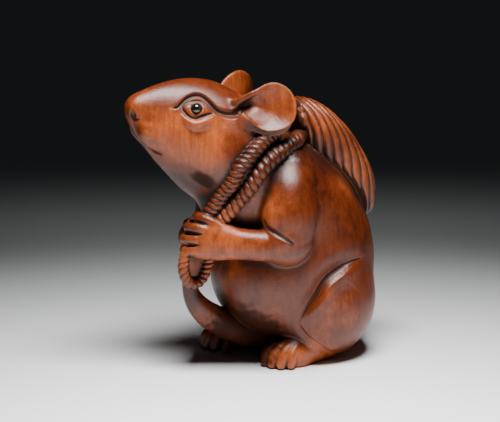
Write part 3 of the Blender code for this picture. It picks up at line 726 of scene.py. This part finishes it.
def bead(name, centre, out):
    """Polished bead set in its socket, a little flatter in front than a ball."""
    bm = bmesh.new()
    bmesh.ops.create_icosphere(bm, subdivisions=4, radius=1.0)
    made = bpy.data.meshes.new(name)
    bm.to_mesh(made)
    bm.free()
    M = axes(out)
    v = points_of(made)
    v = (v * (BEAD_RADIUS, BEAD_RADIUS, BEAD_RADIUS * 0.92)) @ M.T + centre
    made.vertices.foreach_set("co", to_metres(v).astype(np.float32).ravel())
    made.shade_smooth()
    obj = bpy.data.objects.new(name, made)
    bpy.context.scene.collection.objects.link(obj)
    return obj


left_bead, right_bead = (bead(name, at + out * 0.05, out) for name, (at, out) in zip(("left_bead", "right_bead"), eyes))

# ---------------------------------------------------------------- materials


class Nodes:
    """Small helper for building a material's node tree."""

    def __init__(self, name):
        self.material = bpy.data.materials.new(name)
        self.material.use_nodes = True
        self.tree = self.material.node_tree
        self.shader = self.tree.nodes["Principled BSDF"]

    def add(self, kind, **settings):
        node = self.tree.nodes.new(kind)
        for key, value in settings.items():
            if key.startswith("in_"):
                node.inputs[key[3:].replace("_", " ")].default_value = value
            else:
                setattr(node, key, value)
        return node

    def link(self, a, b):
        self.tree.links.new(a, b)

    def attribute(self, name):
        return self.add("ShaderNodeAttribute", attribute_name=name, attribute_type="GEOMETRY").outputs["Fac"]

    def math(self, operation, a, b=0.0, clamp=False):
        node = self.add("ShaderNodeMath", operation=operation, use_clamp=clamp)
        for socket, value in zip(node.inputs, (a, b)):
            if isinstance(value, (int, float)):
                socket.default_value = value
            else:
                self.link(value, socket)
        return node.outputs[0]

    def ramp(self, value, stops, ease="EASE"):
        node = self.add("ShaderNodeValToRGB")
        node.color_ramp.interpolation = ease
        while len(node.color_ramp.elements) < len(stops):
            node.color_ramp.elements.new(0.5)
        for element, (at, colour) in zip(node.color_ramp.elements, stops):
            element.position = at
            element.color = (*colour, 1.0) if isinstance(colour, tuple) else (colour, colour, colour, 1.0)
        self.link(value, node.inputs[0])
        return node.outputs[0]

    def mix(self, share, a, b, blend="MIX"):
        node = self.add("ShaderNodeMix", data_type="RGBA", blend_type=blend)
        for socket, value in ((node.inputs[0], share), (node.inputs[6], a), (node.inputs[7], b)):
            if isinstance(value, (int, float)):
                socket.default_value = value
            elif isinstance(value, tuple):
                socket.default_value = (*value, 1.0)
            else:
                self.link(value, socket)
        return node.outputs[2]

    def noise(self, place, scale, detail=3.0, rough=0.5, stretch=(1.0, 1.0, 1.0), distort=0.0):
        """Noise whose scale is features a millimetre."""
        spread = self.add("ShaderNodeMapping")
        spread.inputs["Scale"].default_value = tuple(1000.0 * scale * k for k in stretch)
        self.link(place, spread.inputs["Vector"])
        node = self.add("ShaderNodeTexNoise", in_Scale=1.0, in_Detail=detail, in_Roughness=rough, in_Distortion=distort)
        self.link(spread.outputs[0], node.inputs["Vector"])
        return node.outputs["Fac"]

    def bump(self, height, distance, strength, below=None):
        node = self.add("ShaderNodeBump", in_Distance=distance, in_Strength=strength)
        self.link(height, node.inputs["Height"])
        if below is not None:
            self.link(below, node.inputs["Normal"])
        return node.outputs[0]


def boxwood():
    """Boxwood stained red-brown: streaky along the grain, rubbed paler on edges and where hands and cheeks
    stand out, with painted shade in every hollow (partly dark staining gathered there) and on the back and underside,
    painted light on the feet, and a satin polish."""
    m = Nodes("stained_boxwood")
    place = m.add("ShaderNodeTexCoord").outputs["Object"]
    blotch = m.noise(place, 0.11, 3.0, 0.55, (1.0, 1.0, 0.7))
    streak = m.noise(place, 1.5, 4.0, 0.6, (1.0, 1.0, 0.12), 0.4)
    pores = m.noise(place, 7.0, 2.0, 0.6, (1.0, 1.0, 0.5))
    cloud = m.noise(place, 0.55, 4.0, 0.6)
    tone = m.math("ADD", m.math("MULTIPLY", blotch, 0.45), m.math("MULTIPLY", cloud, 0.2))
    # Handling wear together with painted light and shade from the table, lightening or darkening the tone.
    tone = m.math("ADD", tone, m.math("MULTIPLY", m.attribute("wear_and_light"), 0.35))
    wood = m.ramp(tone, [(0.30, (0.045, 0.008, 0.003)), (0.47, (0.135, 0.026, 0.007)), (0.66, (0.39, 0.088, 0.022))])
    wood = m.mix(m.ramp(streak, [(0.38, 0.0), (0.62, 1.0)]), wood, m.mix(1.0, wood, (0.80, 0.72, 0.66), "MULTIPLY"))
    wood = m.mix(m.math("MULTIPLY", m.ramp(pores, [(0.44, 1.0), (0.58, 0.0)]), 0.35), wood, m.mix(1.0, wood, (0.55, 0.42, 0.36), "MULTIPLY"))
    rub = m.math("MULTIPLY", m.ramp(m.attribute("fine_edge"), [(0.25, 0.0), (0.8, 1.0)]), 0.45)
    wood = m.mix(rub, wood, (0.40, 0.13, 0.034))
    # Painted shade: hollows at three scales go nearly black (partly the dark staining gathered there), with the throat
    # patch, the painted shade between the feet and the painted shadow under the sack added in.
    shade_and_stain = m.math("MAXIMUM", m.ramp(m.attribute("fine_hollow"), [(0.1, 0.0), (0.6, 1.0)]), m.math("MAXIMUM", m.ramp(m.attribute("mid_hollow"), [(0.12, 0.0), (0.7, 0.97)]), m.ramp(m.attribute("broad_hollow"), [(0.2, 0.0), (0.9, 0.9)])))
    shade_and_stain = m.math("MAXIMUM", shade_and_stain, m.attribute("patch_and_shade"))
    wood = m.mix(shade_and_stain, wood, m.mix(0.87, wood, (0.014, 0.005, 0.003)))
    m.link(wood, m.shader.inputs["Base Color"])
    rough = m.math("ADD", m.math("MULTIPLY", cloud, 0.16), m.math("MULTIPLY", shade_and_stain, 0.2))
    m.link(m.math("ADD", rough, 0.16), m.shader.inputs["Roughness"])
    skin = m.bump(m.noise(place, 3.6, 5.0, 0.7), 0.0001, 0.7)
    skin = m.bump(streak, 0.00005, 0.25, skin)
    m.link(skin, m.shader.inputs["Normal"])
    m.shader.inputs["IOR"].default_value = 1.5
    m.shader.inputs["Specular IOR Level"].default_value = 0.36
    # Less sheen where the throat patch and the painted shade lie.
    m.link(m.math("SUBTRACT", 0.36, m.math("MULTIPLY", m.attribute("patch_and_shade"), 0.28)), m.shader.inputs["Specular IOR Level"])
    return m.material


def horn():
    m = Nodes("black_horn")
    place = m.add("ShaderNodeTexCoord").outputs["Object"]
    wisp = m.noise(place, 1.6, 3.0, 0.5, (1.0, 1.0, 0.4))
    m.link(m.ramp(wisp, [(0.35, (0.004, 0.004, 0.005)), (0.7, (0.014, 0.010, 0.008))]), m.shader.inputs["Base Color"])
    m.link(m.math("ADD", m.math("MULTIPLY", wisp, 0.05), 0.05), m.shader.inputs["Roughness"])
    m.shader.inputs["Coat Weight"].default_value = 0.6
    m.shader.inputs["Coat Roughness"].default_value = 0.03
    return m.material


def paper():
    m = Nodes("floor_paper")
    m.shader.inputs["Base Color"].default_value = (0.80, 0.81, 0.81, 1.0)
    m.shader.inputs["Roughness"].default_value = 0.75
    m.shader.inputs["Specular IOR Level"].default_value = 0.25
    return m.material


figure.data.materials.clear()
figure.data.materials.append(boxwood())
polished = horn()
for piece in (left_bead, right_bead):
    piece.data.materials.append(polished)

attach(figure, "root")
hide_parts("rat_figure")
for piece, node in ((left_bead, "left_eye"), (right_bead, "right_eye")):
    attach(piece, "root")
    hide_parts(node)

# ---------------------------------------------------------------- floor, light, camera

floor = new_object("floor", np.array([(-3, -3, 0), (3, -3, 0), (3, 3, 0), (-3, 3, 0)], float), np.array([[0, 1, 2, 3]]))
floor.data.materials.append(paper())


def area_light(name, at, aim, size, power, colour=(1.0, 1.0, 1.0), spread=180.0):
    lamp = bpy.data.lights.new(name, "AREA")
    lamp.shape = "RECTANGLE"
    lamp.size, lamp.size_y = size
    lamp.energy = power
    lamp.color = colour
    lamp.spread = np.radians(spread)
    made = bpy.data.objects.new(name, lamp)
    made.location = at
    made.rotation_euler = (Vector(aim) - Vector(at)).to_track_quat("-Z", "Y").to_euler()
    bpy.context.scene.collection.objects.link(made)
    return made


# The photograph looks from the rat's front left, a little above.
VIEW_TURN, VIEW_RISE = np.radians(54.0), np.radians(12.0)
right = np.array([np.cos(VIEW_TURN), np.sin(VIEW_TURN), 0.0])
level = np.array([np.sin(VIEW_TURN), -np.cos(VIEW_TURN), 0.0])
back_to_eye = np.cos(VIEW_RISE) * level + np.array([0, 0, np.sin(VIEW_RISE)])
aim = to_metres(-7.0 * right + (0, 0, 25.3))
eye_at = aim + back_to_eye * 0.3


def staged(side, front, up):
    """A place given from the figure's middle: to the camera's right, towards the camera, up."""
    return tuple(to_metres((0, -3, 0)) + right * side + level * front + np.array([0, 0, up]))


area_light("overhead", staged(0.006, 0.050, 0.155), staged(0.004, 0.080, 0.0), (0.07, 0.05), 0.38, spread=104.0)
area_light("rear", staged(0.0, -0.088, 0.10), staged(0.0, -0.094, 0.0), (0.16, 0.02), 0.0043, spread=80.0)

world = bpy.data.worlds.new("studio")
bpy.context.scene.world = world
world.use_nodes = True
world.node_tree.nodes["Background"].inputs["Color"].default_value = (0.85, 0.95, 1.0, 1.0)
world.node_tree.nodes["Background"].inputs["Strength"].default_value = 0.012

view = bpy.data.cameras.new("view")
view.lens = 123.1
view.sensor_width = 36.0
view.clip_start, view.clip_end = 0.01, 10.0
camera = bpy.data.objects.new("view", view)
camera.location = eye_at
camera.rotation_euler = Vector(-back_to_eye).to_track_quat("-Z", "Y").to_euler()
bpy.context.scene.collection.objects.link(camera)
bpy.context.scene.camera = camera
